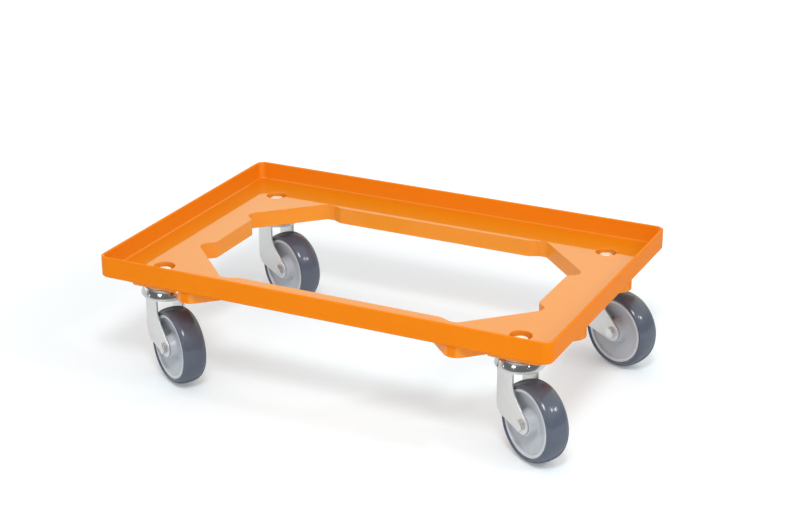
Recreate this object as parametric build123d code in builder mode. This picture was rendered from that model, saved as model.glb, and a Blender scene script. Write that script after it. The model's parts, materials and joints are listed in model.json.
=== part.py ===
from build123d import *

import os
from math import asin, atan2, cos, hypot, radians, sin, sqrt

# Platform dolly: an open moulded tray with a raised rim, carried by four swivel castors.
# All sizes are millimetres. The origin is the middle of the load face, +X runs along the long side, +Z is up.

# Tray
deck_length = 610.0
deck_width = 410.0
corner_radius = 12.0
rim_height = 24.0
rim_thickness = 4.0
rim_draft = 1.0
plate = 3.5
under_edge = 2.0
wall = 3.5
underside_depth = 22.0
rim_edge_round = 1.2
floor_corner_round = 2.0
opening_edge_round = 1.0

# Opening in the tray: straight sides that step outwards before the corner cut, where |x| + |y| is corner_cut
opening_half_length = 227.5
opening_half_width = 138.0
corner_cut = 307.5
step_past_length = 12.5
step_past_width = 6.5
step_flat = 10.0
step_slope_long = 13.0
step_slope_short = 10.0
opening_round = 8.0

# Ribs
rib = 3.0
rib_foot = 6.0
long_rail_ribs = (-105.0, -35.0, 35.0, 105.0)
short_rail_ribs = (-28.0, 28.0)

# Castor seats
seat_x = 245.0
seat_y = 146.0
pad_half_length = 36.0
pad_half_width = 26.0
pad_round = 8.0
boss_radius = 19.0
recess_radius = 13.5
recess_depth = 13.5
stem_hole_radius = 6.5

# Hollow strip below each corner cut, from the long rim to the short rim: outer side, two ends and depth
strip_side = 390.0
strip_long_end = 28.0
strip_short_end = 228.0
strip_round = 17.0
strip_depth = 18.5

# Castor: heights are measured down from the seat
wheel_radius = 50.0
castor_height = 126.0
trail = 32.0
trail_angles = {"front_left": -31.5, "front_right": -32.0, "rear_left": -25.0, "rear_right": -22.0}
sheet = 2.5
running_gap = 0.06

# Swivel head
drum_radius = 29.5
drum_drop = 13.5
drum_lip_drop = 1.5
drum_round = 3.0
head_plate_radius = 26.0
shank_radius = 8.0
stem_radius = 6.0
stem_end = 1.5
rivet_radius = 12.0
rivet_height = 2.0
lower_race_radius = 17.0
lower_race_height = 2.0
upper_ball_circle = 18.5
upper_ball_count = 12
lower_ball = 4.0
lower_ball_circle = 13.5
lower_ball_count = 16
ball_play = 0.25
washer_radius = 12.0
washer_height = 2.5
fixing_nut_flats = 19.0
fixing_nut_height = 6.0
hex_chamfer = 0.7

# Fork legs, seen from the side: +X trails behind the swivel axis
leg_gap = 35.0
leg_front = -18.5
leg_back = 12.3
leg_heel_drop = 77.5
leg_heel_round = 16.0
leg_knee_drop = 41.0
leg_knee_round = 25.0
boss_end_radius = 12.0

# Axle
axle_radius = 4.0
axle_head_flats = 13.0
axle_head_height = 5.3
axle_nut_height = 6.5
axle_end = 2.0
tube_radius = 6.0
tube_play = 0.1

# Wheel: half of its section, as (distance along the axle from the middle, radius)
bush_radius = 8.0
hub_half_width = 17.2
hub_boss_radius = 12.5
hub_boss_edge = 1.0
hub_floor_inner = (6.0, 17.0)
hub_floor_outer = (6.5, 37.0)
hub_ring_inner = (13.6, 39.6)
hub_ring_half_width = 14.2
tyre_seat_radius = 41.9
tyre_key_radius = 39.0
tyre_key_half_width = 6.0
tyre_side = (16.4, 44.6)
tread_edge = (10.0, 48.8)
hub_round = 4.0
tyre_side_round = 1.2

corners = {"front_left": (-1, -1), "front_right": (1, -1), "rear_left": (-1, 1), "rear_right": (1, 1)}
seats = [(sx * seat_x, sy * seat_y) for sx, sy in corners.values()]
axle_drop = castor_height - wheel_radius

os.makedirs("parts", exist_ok=True)


def save(builder, node):
    """Labels a finished piece and writes it."""
    builder.part.label = node
    export_step(builder.part, f"parts/{node}.step")


def tangent_point(point, centre, radius, side):
    """Where a line from point touches a circle; side is +1 or -1."""
    dx, dy = centre[0] - point[0], centre[1] - point[1]
    span = hypot(dx, dy)
    reach = sqrt(span**2 - radius**2)
    angle = atan2(dy, dx) + side * asin(radius / span)
    return point[0] + reach * cos(angle), point[1] + reach * sin(angle)


def local(seat, plane):
    """A plane given in a castor's own axes, as a plane of the whole part."""
    return Plane(seat.location * plane.location)


# Tray

inside_length = deck_length - 2 * rim_thickness
inside_width = deck_width - 2 * rim_thickness
opening_reach_x = opening_half_length + step_past_length
opening_reach_y = opening_half_width + step_past_width
long_end = corner_cut - opening_reach_y
short_end = corner_cut - opening_reach_x
opening_quarter = [
    (long_end - step_flat - step_slope_long, opening_half_width),
    (long_end - step_flat, opening_reach_y),
    (long_end, opening_reach_y),
    (opening_reach_x, short_end),
    (opening_reach_x, short_end - step_flat),
    (opening_half_length, short_end - step_flat - step_slope_short),
]
# The four quarters, going round once
opening_outline = list(opening_quarter)
opening_outline += [(x, -y) for x, y in reversed(opening_quarter)]
opening_outline += [(-x, -y) for x, y in opening_quarter]
opening_outline += [(-x, y) for x, y in reversed(opening_quarter)]

# Corners of the strip in the first quarter, from the opening outwards and back, by |x| + |y| and |y| - |x|
strip_inside = corner_cut - wall / 2
strip_corners = [
    ((total - lead) / 2, (total + lead) / 2)
    for total, lead in (
        (strip_inside, strip_long_end),
        (strip_side, strip_long_end),
        (strip_side, -strip_short_end),
        (strip_inside, -strip_short_end),
    )
]
strip_middle = (
    sum(x for x, y in strip_corners) / len(strip_corners),
    sum(y for x, y in strip_corners) / len(strip_corners),
)

with BuildPart() as deck_frame:
    with BuildSketch(Plane.XY.offset(-plate)):
        RectangleRounded(deck_length, deck_width, corner_radius)
    extrude(amount=plate + rim_height)
    chamfer(faces().sort_by(Axis.Z)[0].edges(), under_edge)
    with BuildSketch(Plane.XY):
        RectangleRounded(inside_length, inside_width, corner_radius - rim_thickness)
    extrude(amount=rim_height, taper=-rim_draft, mode=Mode.SUBTRACT)
    fillet(faces().sort_by(Axis.Z)[-1].edges(), rim_edge_round)
    load_face = faces().filter_by(Axis.Z).filter_by_position(Axis.Z, -0.01, 0.01)[0]
    fillet(load_face.edges(), floor_corner_round)

    # Corner strips and castor pads, open below, with a boss and webs inside
    for sx, sy in corners.values():
        outline = [(sx * x, sy * y) for x, y in strip_corners]
        with BuildSketch(Plane.XY.offset(-strip_depth)) as strip:
            Polygon(*outline, align=None)
            for point in outline[1:3]:
                fillet(vertices().sort_by_distance((*point, 0))[0], strip_round)
        extrude(amount=strip_depth - plate / 2)
        with BuildSketch(Plane.XY.offset(-underside_depth)):
            with Locations((sx * seat_x, sy * seat_y)):
                RectangleRounded(2 * pad_half_length, 2 * pad_half_width, pad_round)
        extrude(amount=underside_depth - plate / 2)
        with BuildSketch(Plane.XY.offset(-underside_depth)):
            Polygon(*outline, align=None)
            for point in outline[1:3]:
                fillet(vertices().sort_by_distance((*point, 0))[0], strip_round)
            with Locations((sx * seat_x, sy * seat_y)):
                RectangleRounded(2 * pad_half_length, 2 * pad_half_width, pad_round)
            offset(amount=-wall, mode=Mode.REPLACE)
        extrude(amount=underside_depth - plate, mode=Mode.SUBTRACT)
        with BuildSketch(Plane.XY.offset(-strip_depth)):
            with Locations((sx * seat_x, sy * seat_y)):
                Rectangle(rib, deck_width, rotation=-45 * sx * sy)
            with Locations((sx * strip_middle[0], sy * strip_middle[1])):
                Rectangle(rib, deck_width, rotation=45 * sx * sy)
            add(strip.sketch, mode=Mode.INTERSECT)
        extrude(amount=strip_depth - plate / 2)
        with BuildSketch(Plane.XY.offset(-underside_depth)):
            with Locations((sx * seat_x, sy * seat_y)):
                Circle(boss_radius)
                Rectangle(2 * pad_half_length - wall, rib)
                Rectangle(rib, 2 * pad_half_width - wall)
        extrude(amount=underside_depth - plate / 2)

    # Ribs from the wall round the opening out to the rim
    for plane, ribs, inner, outer in (
        (Plane.YZ, long_rail_ribs, opening_half_width, deck_width / 2),
        (Plane.XZ, short_rail_ribs, opening_half_length, deck_length / 2),
    ):
        for place in ribs:
            with BuildSketch(plane.offset(place)):
                for side in (-1, 1):
                    Polygon(
                        (side * (inner + wall / 2), -plate / 2),
                        (side * (inner + wall / 2), -underside_depth),
                        (side * (inner + wall), -underside_depth),
                        (side * (outer - rib_foot), -plate),
                        (side * (outer - rib_foot), -plate / 2),
                        align=None,
                    )
            extrude(amount=rib / 2, both=True)

    # Wall round the opening, then the opening itself
    with BuildSketch(Plane.XY.offset(-underside_depth)):
        Polygon(*opening_outline, align=None)
        fillet(vertices(), opening_round)
        offset(amount=wall)
    extrude(amount=underside_depth - plate / 2)
    with BuildSketch(Plane.XY.offset(-underside_depth)):
        Polygon(*opening_outline, align=None)
        fillet(vertices(), opening_round)
    extrude(amount=underside_depth, mode=Mode.SUBTRACT)

    # Recesses for the fixing nuts
    with Locations(*[(x, y, 0) for x, y in seats]):
        CounterBoreHole(stem_hole_radius, recess_radius, recess_depth)
    load_face = faces().filter_by(Axis.Z).filter_by_position(Axis.Z, -0.01, 0.01)[0]
    fillet([edge for wire in load_face.inner_wires() for edge in wire.edges()], opening_edge_round)
save(deck_frame, "deck_frame")

# Fasteners on top of the castor seats

with BuildPart() as fixing_washers:
    with BuildSketch(Plane.XY.offset(-recess_depth)):
        with Locations(*seats):
            Circle(washer_radius)
            Circle(stem_radius, mode=Mode.SUBTRACT)
    extrude(amount=washer_height)
save(fixing_washers, "fixing_washers")

with BuildPart() as fixing_nuts:
    with BuildSketch(Plane.XY.offset(-recess_depth + washer_height)):
        with Locations(*seats):
            RegularPolygon(fixing_nut_flats / 2, 6, major_radius=False)
            Circle(stem_radius, mode=Mode.SUBTRACT)
    extrude(amount=fixing_nut_height)
    chamfer(faces().group_by(Axis.Z)[-1].edges().filter_by(GeomType.LINE), hex_chamfer)
save(fixing_nuts, "fixing_nuts")

# Castors

crown_floor = -drum_drop + sheet
upper_ball = -sheet - crown_floor - ball_play
lower_race_top = -drum_drop - lower_ball - ball_play
lower_race_bottom = lower_race_top - lower_race_height
rivet_bottom = lower_race_bottom - rivet_height
stem_top = underside_depth - recess_depth + washer_height + fixing_nut_height + stem_end
leg_outside = leg_gap / 2 + sheet
boss_centre = (trail, -axle_drop)
heel = (leg_front, -leg_heel_drop)
knee = (leg_back, -leg_knee_drop)

for corner, (sx, sy) in corners.items():
    # The castor's own axes: X trails behind the swivel axis, Y runs along the axle, Z is up
    angle = radians(trail_angles[corner])
    seat = Plane(
        origin=(sx * seat_x, sy * seat_y, -underside_depth),
        x_dir=(cos(angle), sin(angle), 0),
        z_dir=(0, 0, 1),
    )
    swivel_axis = Axis(seat.origin, (0, 0, 1))
    # Section of the wheel: x along the axle, y outwards
    axle_centre = seat.from_local_coords((trail, 0, -axle_drop))
    wheel_plane = Plane(origin=axle_centre, x_dir=seat.y_dir, z_dir=seat.x_dir)
    axle_axis = Axis(axle_centre, seat.y_dir)

    # Fixed part of the swivel head
    with BuildPart() as head_plate:
        with BuildSketch(seat):
            Circle(head_plate_radius)
            Circle(shank_radius, mode=Mode.SUBTRACT)
        extrude(amount=-sheet)
        fillet(edges().filter_by(GeomType.CIRCLE).sort_by(SortBy.RADIUS)[-2:], sheet / 4)
    save(head_plate, f"head_plate_{corner}")

    with BuildPart() as kingpin:
        with BuildSketch(local(seat, Plane.XZ)):
            Polygon(
                (0, rivet_bottom),
                (rivet_radius - rivet_height / 2, rivet_bottom),
                (rivet_radius, rivet_bottom + rivet_height / 2),
                (rivet_radius, lower_race_bottom),
                (shank_radius, lower_race_bottom),
                (shank_radius, 0),
                (stem_radius, 0),
                (stem_radius, stem_top - stem_end / 2),
                (stem_radius - stem_end / 2, stem_top),
                (0, stem_top),
                align=None,
            )
        revolve(axis=swivel_axis)
    save(kingpin, f"kingpin_{corner}")

    with BuildPart() as lower_race:
        with BuildSketch(seat.offset(lower_race_bottom)):
            Circle(lower_race_radius)
            Circle(shank_radius, mode=Mode.SUBTRACT)
        extrude(amount=lower_race_height)
        fillet(edges().filter_by(GeomType.CIRCLE).sort_by(SortBy.RADIUS)[-2:], lower_race_height / 4)
    save(lower_race, f"lower_race_{corner}")

    # Ball rows, which turn with the fork
    with BuildPart(seat.offset(crown_floor + upper_ball / 2)) as upper_balls:
        with PolarLocations(upper_ball_circle, upper_ball_count):
            Sphere(upper_ball / 2)
    save(upper_balls, f"upper_balls_{corner}")

    with BuildPart(seat.offset(-drum_drop - lower_ball / 2)) as lower_balls:
        with PolarLocations(lower_ball_circle, lower_ball_count):
            Sphere(lower_ball / 2)
    save(lower_balls, f"lower_balls_{corner}")

    # Fork: a pressed cup with two legs
    with BuildPart() as fork:
        with BuildSketch(local(seat, Plane.XZ)):
            Polygon(
                (shank_radius + running_gap, -drum_drop),
                (drum_radius, -drum_drop),
                (drum_radius, -drum_lip_drop),
                (drum_radius - sheet, -drum_lip_drop),
                (drum_radius - sheet, crown_floor),
                (shank_radius + running_gap, crown_floor),
                align=None,
            )
            fillet(vertices().sort_by_distance((drum_radius, -drum_drop, 0))[0], drum_round)
        revolve(axis=swivel_axis)
        for outside in (leg_gap / 2, -leg_outside):
            with BuildSketch(local(seat, Plane.XZ.offset(outside))):
                Polygon(
                    (leg_front, crown_floor),
                    heel,
                    tangent_point(heel, boss_centre, boss_end_radius, -1),
                    tangent_point(knee, boss_centre, boss_end_radius, 1),
                    knee,
                    (leg_back, crown_floor),
                    align=None,
                )
                fillet(vertices().sort_by_distance((*heel, 0))[0], leg_heel_round)
                fillet(vertices().sort_by_distance((*knee, 0))[0], leg_knee_round)
                with Locations(boss_centre):
                    Circle(boss_end_radius)
                    Circle(axle_radius, mode=Mode.SUBTRACT)
            extrude(amount=sheet)
    save(fork, f"fork_{corner}")

    # Axle
    with BuildPart() as axle_bolt:
        with BuildSketch(local(seat, Plane.XZ.offset(leg_outside))):
            with Locations(boss_centre):
                RegularPolygon(axle_head_flats / 2, 6, major_radius=False)
        extrude(amount=axle_head_height)
        chamfer(faces().sort_by(Axis(seat.origin, -seat.y_dir))[-1].edges(), hex_chamfer)
        with BuildSketch(local(seat, Plane.XZ.offset(leg_outside))):
            with Locations(boss_centre):
                Circle(axle_radius)
        extrude(amount=-(2 * leg_outside + axle_nut_height + axle_end))
    save(axle_bolt, f"axle_bolt_{corner}")

    with BuildPart() as axle_nut:
        with BuildSketch(local(seat, Plane.XZ.offset(-leg_outside))):
            with Locations(boss_centre):
                RegularPolygon(axle_head_flats / 2, 6, major_radius=False)
                Circle(axle_radius, mode=Mode.SUBTRACT)
        extrude(amount=-axle_nut_height)
        chamfer(faces().sort_by(axle_axis)[-1].edges().filter_by(GeomType.LINE), hex_chamfer)
    save(axle_nut, f"axle_nut_{corner}")

    with BuildPart() as axle_tube:
        with BuildSketch(local(seat, Plane.XZ.offset(-leg_gap / 2))):
            with Locations(boss_centre):
                Circle(tube_radius)
                Circle(axle_radius + tube_play, mode=Mode.SUBTRACT)
        extrude(amount=leg_gap)
    save(axle_tube, f"axle_tube_{corner}")

    # Wheel
    with BuildPart() as hub_bush:
        with BuildSketch(wheel_plane):
            with Locations((0, (bush_radius + tube_radius + running_gap) / 2)):
                Rectangle(2 * hub_half_width, bush_radius - tube_radius - running_gap)
        revolve(axis=axle_axis)
    save(hub_bush, f"hub_bush_{corner}")

    with BuildPart() as wheel_hub:
        with BuildSketch(wheel_plane):
            Polygon(
                (0, bush_radius),
                (hub_half_width, bush_radius),
                (hub_half_width, hub_boss_radius - hub_boss_edge),
                (hub_half_width - hub_boss_edge, hub_boss_radius),
                hub_floor_inner,
                hub_floor_outer,
                hub_ring_inner,
                (hub_ring_half_width, tyre_seat_radius - hub_boss_edge),
                (hub_ring_half_width, tyre_seat_radius),
                (tyre_key_half_width, tyre_seat_radius),
                (tyre_key_half_width, tyre_key_radius),
                (0, tyre_key_radius),
                align=None,
            )
            for point in (hub_floor_inner, hub_floor_outer):
                fillet(vertices().sort_by_distance((*point, 0))[0], hub_round)
            mirror(about=Plane.YZ)
        revolve(axis=axle_axis)
    save(wheel_hub, f"wheel_hub_{corner}")

    with BuildPart() as tyre:
        with BuildSketch(wheel_plane):
            with BuildLine():
                tread = ThreePointArc((-tread_edge[0], tread_edge[1]), (0, wheel_radius), tread_edge)
                TangentArc(tread_edge, tyre_side, tangent=tread % 1)
                Polyline(
                    tyre_side,
                    (hub_ring_half_width, tyre_seat_radius),
                    (tyre_key_half_width, tyre_seat_radius),
                    (tyre_key_half_width, tyre_key_radius),
                    (0, tyre_key_radius),
                )
                mirror(about=Plane.YZ)
            make_face()
            fillet(vertices().sort_by_distance((*tyre_side, 0))[0], tyre_side_round)
            fillet(vertices().sort_by_distance((-tyre_side[0], tyre_side[1], 0))[0], tyre_side_round)
        revolve(axis=axle_axis)
    save(tyre, f"tyre_{corner}")
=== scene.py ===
import json
from math import cos, pi, radians, sin, sqrt

import bmesh
import bpy
from mathutils import Matrix, Vector


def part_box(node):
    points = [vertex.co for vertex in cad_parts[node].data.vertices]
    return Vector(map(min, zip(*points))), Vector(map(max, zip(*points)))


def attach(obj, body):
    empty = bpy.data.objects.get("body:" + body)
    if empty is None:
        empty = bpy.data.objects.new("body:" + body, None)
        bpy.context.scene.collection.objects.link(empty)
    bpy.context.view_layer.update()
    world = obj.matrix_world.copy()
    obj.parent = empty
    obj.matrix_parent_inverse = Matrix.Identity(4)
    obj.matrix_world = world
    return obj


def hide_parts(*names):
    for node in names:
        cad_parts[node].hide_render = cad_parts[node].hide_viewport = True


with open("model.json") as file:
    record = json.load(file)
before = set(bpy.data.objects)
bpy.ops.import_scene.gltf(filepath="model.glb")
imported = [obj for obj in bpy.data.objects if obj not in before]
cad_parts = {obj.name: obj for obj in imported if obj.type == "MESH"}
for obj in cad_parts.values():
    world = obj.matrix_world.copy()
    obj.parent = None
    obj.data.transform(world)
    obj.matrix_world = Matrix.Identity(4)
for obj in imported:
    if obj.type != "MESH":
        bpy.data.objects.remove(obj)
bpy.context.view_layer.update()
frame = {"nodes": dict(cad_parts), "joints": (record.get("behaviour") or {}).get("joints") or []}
nodes = frame["nodes"]
joints = {joint["name"]: joint for joint in frame["joints"]}
scene = bpy.context.scene
CORNERS = ("front_left", "front_right", "rear_left", "rear_right")
FLOOR_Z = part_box("tyre_front_left")[0].z
MM = 0.001


# Materials

# Half the load face, up to the foot of the rim, and how far from its height a point still counts as on it
LOAD_FACE_REACH = Vector((300.5, 200.5, 0.3)) * MM
SKIN_FADE = 1 * MM
# The share of the load face's clear skin that the walls of the opening have
WALL_SKIN = 0.5
# The light of the darkest clouds in a metal and in a plastic, as a share of the colour
METAL_CLOUD = 0.9
PLASTIC_CLOUD = 0.92
# How far the gloss of a plastic varies, and from where to where rubber dulls as it turns away (0 faces the eye)
GLOSS_SPREAD = 0.05
BLOOM_START, BLOOM_FULL = 0.5, 0.8


def linear(colour):
    """An sRGB hex colour as linear RGBA."""
    parts = [int(colour[i:i + 2], 16) / 255 for i in (1, 3, 5)]
    return tuple(p / 12.92 if p <= 0.04045 else ((p + 0.055) / 1.055) ** 2.4 for p in parts) + (1.0,)


def dimmed(colour, share):
    """That share of an sRGB hex colour's light, as linear RGBA."""
    return tuple(part * share for part in linear(colour)[:3]) + (1.0,)


def add(tree, kind, links=None, **settings):
    """Adds a node; links gives each input a value, or the output of another node."""
    made = tree.nodes.new(kind)
    for name, value in settings.items():
        setattr(made, name, value)
    for name, value in (links or {}).items():
        if isinstance(value, bpy.types.NodeSocket):
            tree.links.new(value, made.inputs[name])
        else:
            made.inputs[name].default_value = value
    return made


def new_material(name):
    """An empty node material and its output node."""
    material = bpy.data.materials.new(name)
    material.use_nodes = True
    material.node_tree.nodes.clear()
    return material, material.node_tree, add(material.node_tree, "ShaderNodeOutputMaterial")


def moulded_polypropylene():
    """Injection-moulded polypropylene, coloured through. The load face comes from a polished mould: it has a clear,
    wet-looking skin that mirrors the rim, and its colour is painted yellower, painted light for the strong light on
    the top face. The walls of the opening share some of that skin, and their colour is painted paler, painted light
    that stands in for light coming through the plastic. The rim has the dull, fine grain of a spark-eroded mould."""
    material, tree, output = new_material("moulded_polypropylene_orange")
    place = add(tree, "ShaderNodeTexCoord").outputs["Object"]
    # How far a point lies past the load face, sideways and in height; the skin fades out there
    across = add(tree, "ShaderNodeVectorMath", {0: place}, operation="ABSOLUTE")
    past = add(tree, "ShaderNodeVectorMath", {0: across.outputs["Vector"], 1: LOAD_FACE_REACH}, operation="SUBTRACT")
    past = add(tree, "ShaderNodeSeparateXYZ", {"Vector": past.outputs["Vector"]})
    sideways = add(tree, "ShaderNodeMath", {0: past.outputs["X"], 1: past.outputs["Y"]}, operation="MAXIMUM")
    inside = add(tree, "ShaderNodeMapRange", {
        "Value": sideways.outputs["Value"], "From Max": SKIN_FADE, "To Min": 1.0, "To Max": 0.0}).outputs["Result"]
    level = add(tree, "ShaderNodeMapRange", {
        "Value": past.outputs["Z"], "From Max": SKIN_FADE, "To Min": 1.0, "To Max": 0.0}).outputs["Result"]
    share = add(tree, "ShaderNodeMapRange", {"Value": level, "To Min": WALL_SKIN, "To Max": 1.0})
    skin = add(tree, "ShaderNodeMath", {0: inside, 1: share.outputs["Result"]}, operation="MULTIPLY").outputs["Value"]
    # Broad marks of the melt's flow, a slight orange peel on the skin and the grain of the rim. The real grain is
    # about 0.1 mm; it is drawn at 0.7 mm so that it shows
    flow = add(tree, "ShaderNodeTexNoise", {"Vector": place, "Scale": 1 / (60 * MM), "Detail": 2.0})
    peel = add(tree, "ShaderNodeTexNoise", {"Vector": place, "Scale": 1 / (5 * MM), "Detail": 1.0})
    grain = add(tree, "ShaderNodeTexNoise", {"Vector": place, "Scale": 1 / (0.7 * MM), "Detail": 2.0})
    gloss = add(tree, "ShaderNodeMapRange", {"Value": flow.outputs["Fac"], "To Min": 0.42, "To Max": 0.5})
    relief = add(tree, "ShaderNodeMix", {"Factor": skin, "A": grain.outputs["Fac"], "B": peel.outputs["Fac"]})
    rim = add(tree, "ShaderNodeMixRGB", {
        "Fac": flow.outputs["Fac"], "Color1": linear("#EE8108"), "Color2": linear("#F2860C")})
    # Painted light: inside the rim, the faces below the load face (the walls of the opening among them) are painted a
    # paler orange and the load face a yellower one, for the light that falls there; the rim keeps its own orange
    painted_light_walls_and_face = add(tree, "ShaderNodeMixRGB", {
        "Fac": level, "Color1": linear("#F69627"), "Color2": linear("#E68608")})
    tint = add(tree, "ShaderNodeMixRGB", {
        "Fac": inside, "Color1": rim.outputs["Color"], "Color2": painted_light_walls_and_face.outputs["Color"]})
    bump = add(tree, "ShaderNodeBump", {"Height": relief.outputs["Result"], "Strength": 0.06, "Distance": 0.2 * MM})
    shader = add(tree, "ShaderNodeBsdfPrincipled", {
        "Base Color": tint.outputs["Color"], "Roughness": gloss.outputs["Result"], "IOR": 1.49,
        "Specular IOR Level": 0.08, "Coat Weight": skin, "Coat Roughness": 0.05, "Coat IOR": 1.48,
        "Normal": bump.outputs["Normal"], "Coat Normal": bump.outputs["Normal"]})
    tree.links.new(shader.outputs["BSDF"], output.inputs["Surface"])
    return material


def bright_steel(name, colour, smooth, rough, texture):
    """Steel with a bright zinc plate or a polish: a pale metal, cloudy where the finish is duller. The fine texture of
    the plate is drawn at 0.8 mm, coarser than it is, so that it shows."""
    material, tree, output = new_material(name)
    place = add(tree, "ShaderNodeTexCoord").outputs["Object"]
    cloud = add(tree, "ShaderNodeTexNoise", {"Vector": place, "Scale": 1 / (9 * MM), "Detail": 4.0})
    grain = add(tree, "ShaderNodeTexNoise", {"Vector": place, "Scale": 1 / (0.8 * MM), "Detail": 2.0})
    gloss = add(tree, "ShaderNodeMapRange", {"Value": cloud.outputs["Fac"], "To Min": smooth, "To Max": rough})
    tint = add(tree, "ShaderNodeMixRGB", {
        "Fac": cloud.outputs["Fac"], "Color1": dimmed(colour, METAL_CLOUD), "Color2": linear(colour)})
    bump = add(tree, "ShaderNodeBump", {"Height": grain.outputs["Fac"], "Strength": texture, "Distance": 0.05 * MM})
    shader = add(tree, "ShaderNodeBsdfPrincipled", {
        "Base Color": tint.outputs["Color"], "Metallic": 1.0, "Roughness": gloss.outputs["Result"],
        "Normal": bump.outputs["Normal"]})
    tree.links.new(shader.outputs["BSDF"], output.inputs["Surface"])
    return material


def moulded_plastic(name, colour, rough, ior, texture, edge_rough=None):
    """Moulded plastic or rubber with the fine texture of a spark-eroded mould, drawn at 0.6 mm, coarser than it is, so
    that it shows. Rubber has a bloom that dulls it where it is seen at a flat angle: edge_rough is its roughness there.
    """
    material, tree, output = new_material(name)
    place = add(tree, "ShaderNodeTexCoord").outputs["Object"]
    cloud = add(tree, "ShaderNodeTexNoise", {"Vector": place, "Scale": 1 / (12 * MM), "Detail": 3.0})
    grit = add(tree, "ShaderNodeTexNoise", {"Vector": place, "Scale": 1 / (0.6 * MM), "Detail": 2.0})
    gloss = add(tree, "ShaderNodeMapRange", {
        "Value": cloud.outputs["Fac"], "To Min": rough - GLOSS_SPREAD, "To Max": rough + GLOSS_SPREAD})
    if edge_rough:
        turned_away = add(tree, "ShaderNodeLayerWeight", {"Blend": 0.5}).outputs["Facing"]
        gloss = add(tree, "ShaderNodeMapRange", {
            "Value": turned_away, "From Min": BLOOM_START, "From Max": BLOOM_FULL,
            "To Min": gloss.outputs["Result"], "To Max": edge_rough})
    tint = add(tree, "ShaderNodeMixRGB", {
        "Fac": cloud.outputs["Fac"], "Color1": dimmed(colour, PLASTIC_CLOUD), "Color2": linear(colour)})
    bump = add(tree, "ShaderNodeBump", {"Height": grit.outputs["Fac"], "Strength": texture, "Distance": 0.05 * MM})
    shader = add(tree, "ShaderNodeBsdfPrincipled", {
        "Base Color": tint.outputs["Color"], "Roughness": gloss.outputs["Result"], "IOR": ior,
        "Normal": bump.outputs["Normal"]})
    tree.links.new(shader.outputs["BSDF"], output.inputs["Surface"])
    return material


tray_plastic = moulded_polypropylene()
# Pressed sheet with a zinc plate: pale and soft, it takes up the white of the room without a clear reflection
pressed_zinc = bright_steel("zinc_plated_pressed_steel", "#EAEAE9", smooth=0.36, rough=0.46, texture=0.02)
# A cup that was drawn and polished before plating: it mirrors the lamps and the dark side of the room
polished_zinc = bright_steel("bright_zinc_swivel_cup", "#D6D7D8", smooth=0.10, rough=0.16, texture=0.03)
# Cold-formed bolts and nuts with a bright zinc plate: blurred reflections, pale on every flat
bright_zinc = bright_steel("bright_zinc_fasteners", "#E6E8E8", smooth=0.22, rough=0.32, texture=0.02)
# Zinc plate with a satin finish: silky, and nearly white against the orange. Its slightly yellow colour is a painted
# reflection of the warm wall behind the dolly
painted_warm_zinc = bright_steel("satin_zinc_fixing_nuts", "#F2EFE8", smooth=0.34, rough=0.44, texture=0.02)
# Ground and polished balls: bright as a mirror
bearing_steel = bright_steel("polished_bearing_steel", "#D2D3D5", smooth=0.06, rough=0.10, texture=0.0)
# Grey polypropylene of hub and ring: even, with a soft shine
hub_plastic = moulded_plastic("moulded_polypropylene_grey", "#C0C5CC", rough=0.36, ior=1.49, texture=0.08)
# Painted light: the ring is the same plastic painted paler, standing in for the light it catches while the bowl beside
# it lies in shade
painted_lit_ring_plastic = moulded_plastic("moulded_polypropylene_painted_pale_grey", "#D3D8DD", rough=0.32, ior=1.49, texture=0.05)
# Thermoplastic rubber from a polished mould: blue-grey with clear highlights, dull towards its outline
tyre_rubber = moulded_plastic(
    "grey_thermoplastic_rubber", "#565E6D", rough=0.17, ior=1.5, texture=0.01, edge_rough=0.7)
# Black acetal: a waxy shine
bush_plastic = moulded_plastic("acetal_bush_black", "#2A2B2D", rough=0.35, ior=1.48, texture=0.08)

# Every solid gets its finish, also where a piece below takes its place
finish_of = {"deck_frame": tray_plastic, "fixing_washers": bright_zinc, "fixing_nuts": bright_zinc}
for corner in CORNERS:
    for piece, finish in (
        ("head_plate", pressed_zinc), ("kingpin", bright_zinc), ("lower_race", pressed_zinc),
        ("upper_balls", bearing_steel), ("lower_balls", bearing_steel), ("fork", pressed_zinc),
        ("axle_bolt", bright_zinc), ("axle_nut", bright_zinc), ("axle_tube", bright_zinc),
        ("hub_bush", bush_plastic), ("wheel_hub", hub_plastic), ("tyre", tyre_rubber),
    ):
        finish_of[f"{piece}_{corner}"] = finish
for name, finish in finish_of.items():
    mesh = nodes[name].data
    mesh.materials.clear()
    mesh.materials.append(finish)


# Pieces, made in millimetres in a castor's own axes

UPRIGHT = Vector((0, 0, 1))
AXLEWISE = Vector((0, 1, 0))
# The axle, behind the swivel axis and below the castor's seat
TRAIL = 32
AXLE_DROP = 76
# The fork's legs: sheet thickness, inner side, and their outline in X and Z. The boss end is an arc round the axle,
# from where the lower edge runs into it
SHEET = 2.5
LEG_INSIDE = 17.5
LEG_TOP = -14
LEG_TRAILING = 12.3
LEG_LEADING = -18.5
HEEL_Z, HEEL_ROUND = -77.5, 12.95
KNEE_Z, KNEE_ROUND = -41, 10.8
OUTLINE_STEPS = 12
BOSS_START = (29.497, -87.737)
BOSS_TURN = radians(148.8)
BOSS_STEPS = 20
BROKEN_EDGE, BROKEN_EDGE_STEPS, BROKEN_EDGE_ANGLE = 0.55, 3, radians(60)
# Steps of one turn
CUP_STEPS = 128
WHEEL_STEPS = 160
STEM_STEPS = 64
AXLE_STEPS = 48
THREAD_STEPS = 24
# A thread's crest, in pitches from the end of its first turn, and the turns that it is wound past its length
CREST_START, CREST_END = -0.56, -0.44
SPARE_TURNS = 3
# The cone that takes the corners off a hexagon's end: its cuts, its slope and where it starts, as a share of the flats
CONE_CUTS = 48
CONE_SLOPE = radians(30)
CONE_RIM = 0.47
AXLE_FLATS, AXLE_HEAD_TURN = 13, radians(15)
STEM_FLATS, STEM_NUT_TURN = 19, radians(10)
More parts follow.
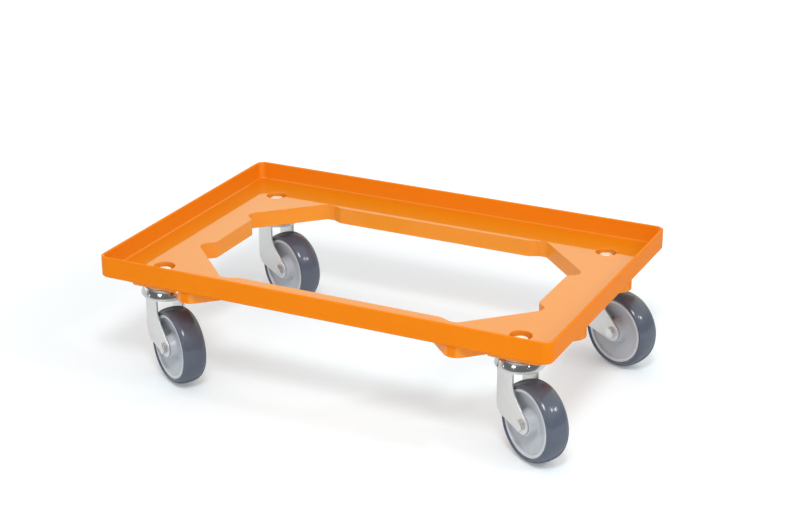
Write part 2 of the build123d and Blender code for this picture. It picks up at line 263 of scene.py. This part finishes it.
# Values that neighbours share: the cup's foot on the crown, the tyre's bed and its key into the hub with the half
# widths of both, where bowl and ring meet, the bolt's washer face, and the washer's top below the fixing nut
CUP_FOOT = -13.5
TYRE_BED, BED_HALF = 41.9, 14.2
KEY_FOOT, KEY_HALF = 39, 6
RING_FOOT, RING_FOOT_HALF = 38.0, 12.0
BOLT_FACE = 20.4
WASHER_TOP = 11
# Points closer than this are one, also in a thread's turns and at a cut; edges sharper than these angles stay sharp
SAME_POINT = 0.001
SAME_IN_THREAD = 0.01
SAME_AT_CUT = 0.0001
CREASE = 32
FASTENER_CREASE = 20


def castor_axes(corner):
    """A castor's own axes, from its seat: X trails behind the swivel axis, Y runs along the axle, Z is up."""
    axle = Vector(joints[f"roll_{corner}"]["axis"])
    trailing = Vector((axle.y, -axle.x, 0))
    axes = Matrix((trailing, axle, UPRIGHT)).transposed().to_4x4()
    axes.translation = joints[f"swivel_{corner}"]["pos_m"]
    return axes @ Matrix.Scale(MM, 4)


def wheel_axes(corner):
    """The same axes, from the middle of the wheel."""
    return castor_axes(corner) @ Matrix.Translation((TRAIL, 0, -AXLE_DROP))


def rounded(shape, vert, reach, steps):
    """Rounds a corner of a flat outline."""
    bmesh.ops.bevel(shape, geom=[vert], offset=reach, segments=steps, profile=0.5, affect="VERTICES", material=-1)


def turned(axis, steps, corners):
    """A ring or a solid, turned once round an axis. Each corner of its section has a radius, a place along the axis
    and, where it is rounded, the round's reach and steps."""
    shape = bmesh.new()
    outward = Vector((1, 0, 0)) if axis == UPRIGHT else UPRIGHT
    verts = [shape.verts.new(outward * radius + axis * along) for radius, along, *_ in corners]
    shape.faces.new(verts)
    for vert, (_, _, *reach_and_steps) in zip(verts, corners):
        if reach_and_steps:
            rounded(shape, vert, *reach_and_steps)
    bmesh.ops.delete(shape, geom=shape.faces[:], context="FACES_ONLY")
    on_axis = [edge for edge in shape.edges if all(vert.co.cross(axis).length < SAME_POINT for vert in edge.verts)]
    bmesh.ops.delete(shape, geom=on_axis, context="EDGES")
    bmesh.ops.spin(shape, geom=shape.verts[:] + shape.edges[:], cent=(0, 0, 0), axis=axis, angle=2 * pi,
                   steps=steps, use_merge=True)
    return shape


def place_piece(shape, name, place, finish, body, stands_for, crease):
    """Finishes a mesh, puts it in its place, lets it ride on its body and stand for a node of the solids."""
    bmesh.ops.remove_doubles(shape, verts=shape.verts, dist=SAME_POINT)
    bmesh.ops.recalc_face_normals(shape, faces=shape.faces)
    bmesh.ops.transform(shape, matrix=place, verts=shape.verts)
    mesh = bpy.data.meshes.new(name)
    shape.to_mesh(mesh)
    shape.free()
    mesh.shade_smooth()
    mesh.set_sharp_from_angle(angle=radians(crease))
    mesh.materials.append(finish)
    made = bpy.data.objects.new(name, mesh)
    scene.collection.objects.link(made)
    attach(made, body)
    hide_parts(stands_for)


def swivel_cup():
    """The polished cup of the swivel head: a rounded lower edge and a shoulder that draws in to its open top."""
    return turned(UPRIGHT, CUP_STEPS, [
        (8.06, CUP_FOOT),
        (28.6, CUP_FOOT, 0.3, 2),
        (31.0, -12.8, 0.5, 4),
        (29.9, -8.0, 3.8, 10),
        (27.2, -1.5, 0.3, 3),
        (26.5, -1.5, 0.2, 2),
        (28.4, -8.0, 1.0, 4),
        (28.4, -11, 1.5, 4),
        (8.06, -11),
    ])


def fork_crown():
    """The crown of the fork: a stout ring below the cup, rounded outside, that carries the legs."""
    return turned(UPRIGHT, CUP_STEPS, [
        (18.0, CUP_FOOT, 0.3, 2),
        (18.0, -15.8, 0.8, 3),
        (29.4, -15.8, 1.3, 6),
        (29.4, CUP_FOOT, 0.6, 4),
    ])


def fork_legs():
    """Two legs of sheet with broken edges, seen from the side as one outline with round heel, knee and boss end."""
    shape = bmesh.new()
    for side in (-LEG_INSIDE - SHEET, LEG_INSIDE):
        outline = [shape.verts.new((x, side, z)) for x, z in (
            (LEG_TRAILING, LEG_TOP), (LEG_LEADING, LEG_TOP), (LEG_LEADING, HEEL_Z))]
        heel = outline[-1]
        earlier = set(shape.verts)
        boss = shape.verts.new((BOSS_START[0], side, BOSS_START[1]))
        bmesh.ops.spin(shape, geom=[boss], cent=(TRAIL, side, -AXLE_DROP), axis=-AXLEWISE, angle=BOSS_TURN,
                       steps=BOSS_STEPS)
        outline += [vert for vert in shape.verts if vert not in earlier]
        knee = shape.verts.new((LEG_TRAILING, side, KNEE_Z))
        shape.faces.new(outline + [knee])
        rounded(shape, heel, HEEL_ROUND, OUTLINE_STEPS)
        rounded(shape, knee, KNEE_ROUND, OUTLINE_STEPS)
    raised = bmesh.ops.extrude_face_region(shape, geom=shape.faces[:])["geom"]
    bmesh.ops.translate(shape, vec=AXLEWISE * SHEET, verts=[v for v in raised if isinstance(v, bmesh.types.BMVert)])
    bmesh.ops.recalc_face_normals(shape, faces=shape.faces)
    rims = [edge for edge in shape.edges
            if len(edge.link_faces) == 2 and edge.calc_face_angle() > BROKEN_EDGE_ANGLE]
    bmesh.ops.bevel(shape, geom=rims, offset=BROKEN_EDGE, segments=BROKEN_EDGE_STEPS, profile=0.5, affect="EDGES",
                    material=-1)
    return shape


def tyre_ring():
    """A tyre with a slightly crowned tread, soft shoulders and a key into the hub."""
    return turned(AXLEWISE, WHEEL_STEPS, [
        (44.6, -16.4, 1.1, 5),
        (47.84, -13.95, 3.6, 8),
        (51.43, 0, 10.29, 12),
        (47.84, 13.95, 3.6, 8),
        (44.6, 16.4, 1.1, 5),
        (TYRE_BED, BED_HALF),
        (TYRE_BED, KEY_HALF),
        (KEY_FOOT, KEY_HALF),
        (KEY_FOOT, -KEY_HALF),
        (TYRE_BED, -KEY_HALF),
        (TYRE_BED, -BED_HALF),
    ])


def dished_hub():
    """A moulded hub: a boss and, on either side, a shallow bowl that rises towards the ring."""
    half = [
        (8, 17.2),
        (14.4, 17.2, 0.8, 4),
        (17.2, 5.4, 3.0, 6),
        (37.4, 10.4, 0.8, 4),
        (RING_FOOT, RING_FOOT_HALF),
        (KEY_FOOT, KEY_HALF),
    ]
    other = [(radius, -along, *reach_and_steps) for radius, along, *reach_and_steps in reversed(half)]
    return turned(AXLEWISE, WHEEL_STEPS, half + other)


def hub_ring(side):
    """The ring round the bowl, which carries the tyre's edge and is given the painted paler grey; side is +1 or -1."""
    return turned(AXLEWISE, WHEEL_STEPS, [
        (KEY_FOOT, side * KEY_HALF),
        (RING_FOOT, side * RING_FOOT_HALF),
        (38.4, side * 14.6, 0.8, 5),
        (41.6, side * 14.6, 0.5, 4),
        (TYRE_BED, side * BED_HALF),
        (TYRE_BED, side * KEY_HALF),
    ])


def cut_off(shape, place, outward):
    """Cuts a closed shape along a plane, drops what lies outward and closes the cut."""
    cut = bmesh.ops.bisect_plane(shape, geom=shape.verts[:] + shape.edges[:] + shape.faces[:], dist=SAME_AT_CUT,
                                 plane_co=place, plane_no=outward, clear_outer=True)
    rim = [part for part in cut["geom_cut"] if isinstance(part, bmesh.types.BMEdge) and part.is_boundary]
    if rim:
        bmesh.ops.edgeloop_fill(shape, edges=rim)


def hexagon(flats, low, high, turn, cone_ends):
    """A hexagon bar along Z; at each of the cone ends its corners are cut down to a cone, as on a nut."""
    shape = bmesh.new()
    place = Matrix.Translation((0, 0, (low + high) / 2)) @ Matrix.Rotation(turn, 4, "Z")
    bmesh.ops.create_cone(shape, cap_ends=True, segments=6, radius1=flats / sqrt(3), radius2=flats / sqrt(3),
                          depth=high - low, matrix=place)
    for end in cone_ends:
        outward = 1 if end == high else -1
        for step in range(CONE_CUTS):
            around = Vector((cos(2 * pi * step / CONE_CUTS), sin(2 * pi * step / CONE_CUTS), 0))
            plane = around * sin(CONE_SLOPE) + Vector((0, 0, outward * cos(CONE_SLOPE)))
            cut_off(shape, around * flats * CONE_RIM + Vector((0, 0, end)), plane)
    return shape


def thread(crest, root, pitch, low, high):
    """A screw thread along Z: one ridge with a narrow crest, wound up past both ends and cut off square."""
    shape = bmesh.new()
    ridge = [shape.verts.new((reach, 0, low + along * pitch)) for reach, along in (
        (root, -1), (crest, CREST_START), (crest, CREST_END), (root, 0))]
    lines = [shape.edges.new(pair) for pair in zip(ridge, ridge[1:])]
    turns = int((high - low) / pitch) + SPARE_TURNS
    bmesh.ops.spin(shape, geom=ridge + lines, cent=(0, 0, 0), axis=UPRIGHT, dvec=(0, 0, pitch / THREAD_STEPS),
                   angle=2 * pi * turns, steps=THREAD_STEPS * turns)
    bmesh.ops.remove_doubles(shape, verts=shape.verts, dist=SAME_IN_THREAD)
    cut_off(shape, (0, 0, low), -UPRIGHT)
    cut_off(shape, (0, 0, high), UPRIGHT)
    return shape


def joined(*shapes):
    """Several meshes as one."""
    whole = bmesh.new()
    for shape in shapes:
        part = bpy.data.meshes.new("part")
        shape.to_mesh(part)
        shape.free()
        whole.from_mesh(part)
        bpy.data.meshes.remove(part)
    return whole


def axle_bolt():
    """The axle's hexagon bolt, its head outwards: washer face, shank and a threaded end past the nut."""
    head = hexagon(AXLE_FLATS, low=BOLT_FACE, high=25.3, turn=AXLE_HEAD_TURN, cone_ends=[25.3])
    shank = turned(UPRIGHT, AXLE_STEPS, [
        (0, -28.5),
        (2.8, -28.5),
        (3.25, -28.1),
        (3.25, -18.6),
        (3.95, -18),
        (3.95, 20),
        (6.1, 20),
        (6.1, BOLT_FACE),
        (0, BOLT_FACE),
    ])
    return joined(head, shank, thread(crest=3.95, root=3.2, pitch=1.25, low=-28.1, high=-18.2))


def axle_lock_nut():
    """The axle's lock nut: a hexagon with a collar that holds the locking ring."""
    nut = hexagon(AXLE_FLATS, low=-24.6, high=-20, turn=0, cone_ends=[-24.6, -20])
    collar = turned(UPRIGHT, AXLE_STEPS, [
        (3.7, -24),
        (5.8, -24),
        (5.8, -26.5, 1.1, 5),
        (4.7, -26.5, 0.2, 2),
        (4.5, -26, 0.1, 2),
        (3.7, -26),
    ])
    return joined(nut, collar)


def fixing_washer():
    """The flat washer under a fixing nut, its edges rounded by the press."""
    return turned(UPRIGHT, STEM_STEPS, [
        (6.2, 8.5, 0.2, 2),
        (12, 8.5, 0.3, 3),
        (12, WASHER_TOP, 0.8, 5),
        (6.2, WASHER_TOP, 0.2, 2),
    ])


def fixing_lock_nut():
    """The nut on a castor's stem: a hexagon and a broad, flat collar round the stem's end."""
    nut = hexagon(STEM_FLATS, low=WASHER_TOP, high=15.6, turn=STEM_NUT_TURN, cone_ends=[15.6])
    collar = turned(UPRIGHT, STEM_STEPS, [
        (5.7, 15),
        (8.9, 15),
        (8.9, 17.9, 0.7, 5),
        (6.3, 17.9, 0.2, 2),
        (5.7, 17.4),
    ])
    return joined(nut, collar)


def riveted_kingpin():
    """The kingpin: a domed rivet head below, the shank that the fork turns on, and the threaded stem."""
    pin = turned(UPRIGHT, STEM_STEPS, [
        (0, -21.75),
        (9.2, -21.75, 2.0, 6),
        (12, -20.5, 0.6, 4),
        (12, -19.75),
        (8, -19.75),
        (8, 0),
        (5.9, 0),
        (5.9, 8),
        (5.0, 8.6),
        (5.0, 18),
        (4.5, 18.5),
        (0, 18.5),
    ])
    return joined(pin, thread(crest=5.95, root=4.95, pitch=1.75, low=8.2, high=18))


for corner in CORNERS:
    castor, wheel = f"castor_{corner}", f"wheel_{corner}"
    fork, tyre, hub = f"fork_{corner}", f"tyre_{corner}", f"wheel_hub_{corner}"
    seat, middle = castor_axes(corner), wheel_axes(corner)
    axle = middle @ Matrix.Rotation(radians(90), 4, "X")
    for shape, piece, axes, finish, slot, body, node in (
        (swivel_cup(), "swivel_cup", seat, polished_zinc, "zinc", castor, fork),
        (fork_crown(), "fork_crown", seat, pressed_zinc, "zinc", castor, fork),
        (fork_legs(), "fork_legs", seat, pressed_zinc, "zinc", castor, fork),
        (tyre_ring(), "tyre_ring", middle, tyre_rubber, "tyre", wheel, tyre),
        (dished_hub(), "dished_hub", middle, hub_plastic, "hub", wheel, hub),
        (hub_ring(-1), "outer_ring", middle, painted_lit_ring_plastic, "hub", wheel, hub),
        (hub_ring(1), "inner_ring", middle, painted_lit_ring_plastic, "hub", wheel, hub),
    ):
        place_piece(shape, f"{piece}_{corner}", axes, finish, body, node, CREASE)
    for shape, piece, axes, finish, body, node in (
        (axle_bolt(), "hexagon_bolt", axle, bright_zinc, castor, f"axle_bolt_{corner}"),
        (axle_lock_nut(), "axle_lock_nut", axle, bright_zinc, castor, f"axle_nut_{corner}"),
        (fixing_washer(), "fixing_washer", seat, painted_warm_zinc, "deck", "fixing_washers"),
        (fixing_lock_nut(), "fixing_lock_nut", seat, painted_warm_zinc, "deck", "fixing_nuts"),
        (riveted_kingpin(), "riveted_kingpin", seat, painted_warm_zinc, "deck", f"kingpin_{corner}"),
    ):
        place_piece(shape, f"{piece}_{corner}", axes, finish, body, node, FASTENER_CREASE)


# Studio, in metres

FLOOR_REACH = 8.0
# The oval of paper below the dolly, as the stretch of X and Y that makes it a circle, and the radii between which its
# tint fades out
DOLLY_OVAL = Vector((0.83, 1, 0))
TINT_FULL, TINT_END = 0.2, 0.6
# How much whiter the paper shows to the camera near the dolly and far off, the radii between which that grows, and how
# much whiter it shows in reflections
NEAR_LIFT, FAR_LIFT = 0.19, 0.5
LIFT_START, LIFT_FULL = 0.4, 1.6
MIRRORED_LIFT = 0.06
# The room's light on the object, and what the camera and reflections see of it
ROOM_FILL, ROOM_SEEN = 0.69, 1.0
# The room's dim and warm walls: what each adds in reflections, and then its compass direction, the cosines between
# which it fades in, and the heights between which it fades out
DIM_LIGHT, DIM_WALL = -0.82, ((0.766, -0.643, 0), -0.6, -0.3, 0.3, 0.55)
WARM_LIGHT, WARM_WALL = 0.5, ((-0.42, 0.9, 0), 0.1, 0.5, 0.6, 0.8)
KEY_PLACE, KEY_WIDTH, KEY_POWER = Vector((0.864, -1.795, 2.46)), 0.75, 29
SMALL_LAMP_DISTANCE = 3
# Each small lamp: its compass direction (0 is in front, 90 on the right) and elevation, width, height and power
SMALL_LAMPS = (
    ("right_lamp", 84, 38, 0.11, 0.11, 6),
    ("far_right_lamp", 97, 32.5, 0.12, 0.12, 6),
    ("front_lamp", 31, 54, 0.2, 0.7, 6),
    ("low_left_lamp", -50, 2, 0.12, 0.08, 0.25),
    ("low_front_lamp", -2, 13, 0.7, 0.1, 2.8),
    ("low_right_lamp", 62, 12, 0.15, 0.12, 0.6),
)
# The photograph's camera: its place, its axes, and its lens in pixels of a picture 800 wide
CAMERA_PLACE = (0.96557, -1.96693, 0.88483)
CAMERA_RIGHT = Vector((0.900660, 0.434523, 0.001291))
CAMERA_UP = Vector((-0.164194, 0.337580, 0.926866))
CAMERA_BACK = Vector((0.402309, -0.835003, 0.375390))
LENS_PIXELS, PHOTO_WIDTH = 1836.461, 800
SENSOR_WIDTH = 36


def studio_floor():
    """A pale floor that keeps the shadow and shows white to the camera and in reflections."""
    mesh = bpy.data.meshes.new("studio_floor")
    shape = bmesh.new()
    bmesh.ops.create_grid(shape, x_segments=1, y_segments=1, size=FLOOR_REACH)
    bmesh.ops.translate(shape, vec=(0, 0, FLOOR_Z), verts=shape.verts)
    shape.to_mesh(mesh)
    shape.free()
    floor = bpy.data.objects.new("studio_floor", mesh)
    scene.collection.objects.link(floor)
    material, tree, output = new_material("white_paper_floor")
    place = add(tree, "ShaderNodeTexCoord").outputs["Object"]
    reach = add(tree, "ShaderNodeVectorMath", {0: place, 1: DOLLY_OVAL}, operation="MULTIPLY")
    reach = add(tree, "ShaderNodeVectorMath", {0: reach.outputs["Vector"]}, operation="LENGTH").outputs["Value"]
    # The paper is whiter and cooler below the dolly, where soft shade and the tray's orange light fall on it, so that
    # the key lamp's shadow stands out and stays grey
    clear = add(tree, "ShaderNodeMapRange", {"Value": reach, "From Min": TINT_FULL, "From Max": TINT_END})
    tint = add(tree, "ShaderNodeMixRGB", {
        "Fac": clear.outputs["Result"], "Color1": linear("#E9F5FA"), "Color2": linear("#EEEFF0")})
    paper = add(tree, "ShaderNodeBsdfDiffuse", {"Color": tint.outputs["Color"]})
    # Far off, where less of the key lamp's light falls on it, the paper still shows white to the camera
    white = add(tree, "ShaderNodeMapRange", {
        "Value": reach, "From Min": LIFT_START, "From Max": LIFT_FULL, "To Min": NEAR_LIFT, "To Max": FAR_LIFT})
    path = add(tree, "ShaderNodeLightPath")
    mirrored = add(tree, "ShaderNodeMath", {
        0: path.outputs["Is Glossy Ray"], 1: path.outputs["Is Transmission Ray"]}, operation="MAXIMUM")
    mirrored = add(tree, "ShaderNodeMath", {0: mirrored.outputs["Value"], 1: MIRRORED_LIFT}, operation="MULTIPLY")
    lift = add(tree, "ShaderNodeMath", {
        0: path.outputs["Is Camera Ray"], 1: white.outputs["Result"], 2: mirrored.outputs["Value"]},
        operation="MULTIPLY_ADD")
    glow = add(tree, "ShaderNodeEmission", {"Strength": lift.outputs["Value"]})
    both = add(tree, "ShaderNodeAddShader", {0: paper.outputs["BSDF"], 1: glow.outputs["Emission"]})
    tree.links.new(both.outputs["Shader"], output.inputs["Surface"])
    mesh.materials.append(material)


def white_room():
    """White surroundings with an even fill light, as in a light tent. Reflections show them white as well, apart from
    the dim part of the room that the photograph was taken from and the warm, bright wall across from it."""
    world = bpy.data.worlds.new("white_room")
    scene.world = world
    world.use_nodes = True
    tree = world.node_tree
    tree.nodes.clear()
    path = add(tree, "ShaderNodeLightPath")
    glossy = path.outputs["Is Glossy Ray"]
    seen = add(tree, "ShaderNodeMath", {0: path.outputs["Is Camera Ray"], 1: glossy}, operation="MAXIMUM")
    seen = add(tree, "ShaderNodeMath", {0: seen.outputs["Value"], 1: path.outputs["Is Transmission Ray"]},
               operation="MAXIMUM")
    plain = add(tree, "ShaderNodeMapRange", {
        "Value": seen.outputs["Value"], "To Min": ROOM_FILL, "To Max": ROOM_SEEN})
    way = add(tree, "ShaderNodeTexCoord").outputs["Generated"]
    height = add(tree, "ShaderNodeSeparateXYZ", {"Vector": way}).outputs["Z"]
    walls = []
    for towards, start, full, top, end in (DIM_WALL, WARM_WALL):
        ahead = add(tree, "ShaderNodeVectorMath", {0: way, 1: Vector(towards)}, operation="DOT_PRODUCT")
        ahead = add(tree, "ShaderNodeMapRange", {
            "Value": ahead.outputs["Value"], "From Min": start, "From Max": full})
        low = add(tree, "ShaderNodeMapRange", {
            "Value": height, "From Min": top, "From Max": end, "To Min": 1.0, "To Max": 0.0})
        wall = add(tree, "ShaderNodeMath", {0: ahead.outputs["Result"], 1: low.outputs["Result"]},
                   operation="MULTIPLY")
        wall = add(tree, "ShaderNodeMath", {0: wall.outputs["Value"], 1: glossy}, operation="MULTIPLY")
        walls.append(wall.outputs["Value"])
    dim, warm = walls
    strength = add(tree, "ShaderNodeMath", {0: dim, 1: DIM_LIGHT, 2: plain.outputs["Result"]},
                   operation="MULTIPLY_ADD")
    strength = add(tree, "ShaderNodeMath", {0: warm, 1: WARM_LIGHT, 2: strength.outputs["Value"]},
                   operation="MULTIPLY_ADD")
    colour = add(tree, "ShaderNodeMixRGB", {
        "Fac": warm, "Color1": linear("#FFFFFF"), "Color2": linear("#FFFADA")})
    light = add(tree, "ShaderNodeBackground", {
        "Color": colour.outputs["Color"], "Strength": strength.outputs["Value"]})
    output = add(tree, "ShaderNodeOutputWorld")
    tree.links.new(light.outputs["Background"], output.inputs["Surface"])


def soft_lamp(name, place, power, width, height=None):
    """A lamp that faces the middle of the load face: a rectangle, or round where it has no height."""
    lamp = bpy.data.lights.new(name, "AREA")
    lamp.energy = power
    lamp.size = width
    if height:
        lamp.shape = "RECTANGLE"
        lamp.size_y = height
    else:
        lamp.shape = "DISK"
    made = bpy.data.objects.new(name, lamp)
    scene.collection.objects.link(made)
    made.matrix_world = Matrix.Translation(place) @ place.to_track_quat("Z", "Y").to_matrix().to_4x4()


def studio_lamps():
    """The key lamp, whose shadow shows on the paper, and small lamps far off, for the bright points on shiny faces."""
    soft_lamp("soft_key", KEY_PLACE, KEY_POWER, KEY_WIDTH)
    for name, azimuth, elevation, width, height, power in SMALL_LAMPS:
        level = cos(radians(elevation))
        towards = Vector((sin(radians(azimuth)) * level, -cos(radians(azimuth)) * level, sin(radians(elevation))))
        soft_lamp(name, towards * SMALL_LAMP_DISTANCE, power, width, height)


def photo_camera():
    """The photograph's view."""
    lens = bpy.data.cameras.new("photo_camera")
    lens.sensor_fit = "HORIZONTAL"
    lens.sensor_width = SENSOR_WIDTH
    lens.lens = LENS_PIXELS * SENSOR_WIDTH / PHOTO_WIDTH
    camera = bpy.data.objects.new("photo_camera", lens)
    scene.collection.objects.link(camera)
    place = Matrix((CAMERA_RIGHT, CAMERA_UP, CAMERA_BACK)).transposed().to_4x4()
    place.translation = CAMERA_PLACE
    camera.matrix_world = place
    scene.camera = camera


studio_floor()
white_room()
studio_lamps()
photo_camera()
scene.view_settings.view_transform = "Standard"
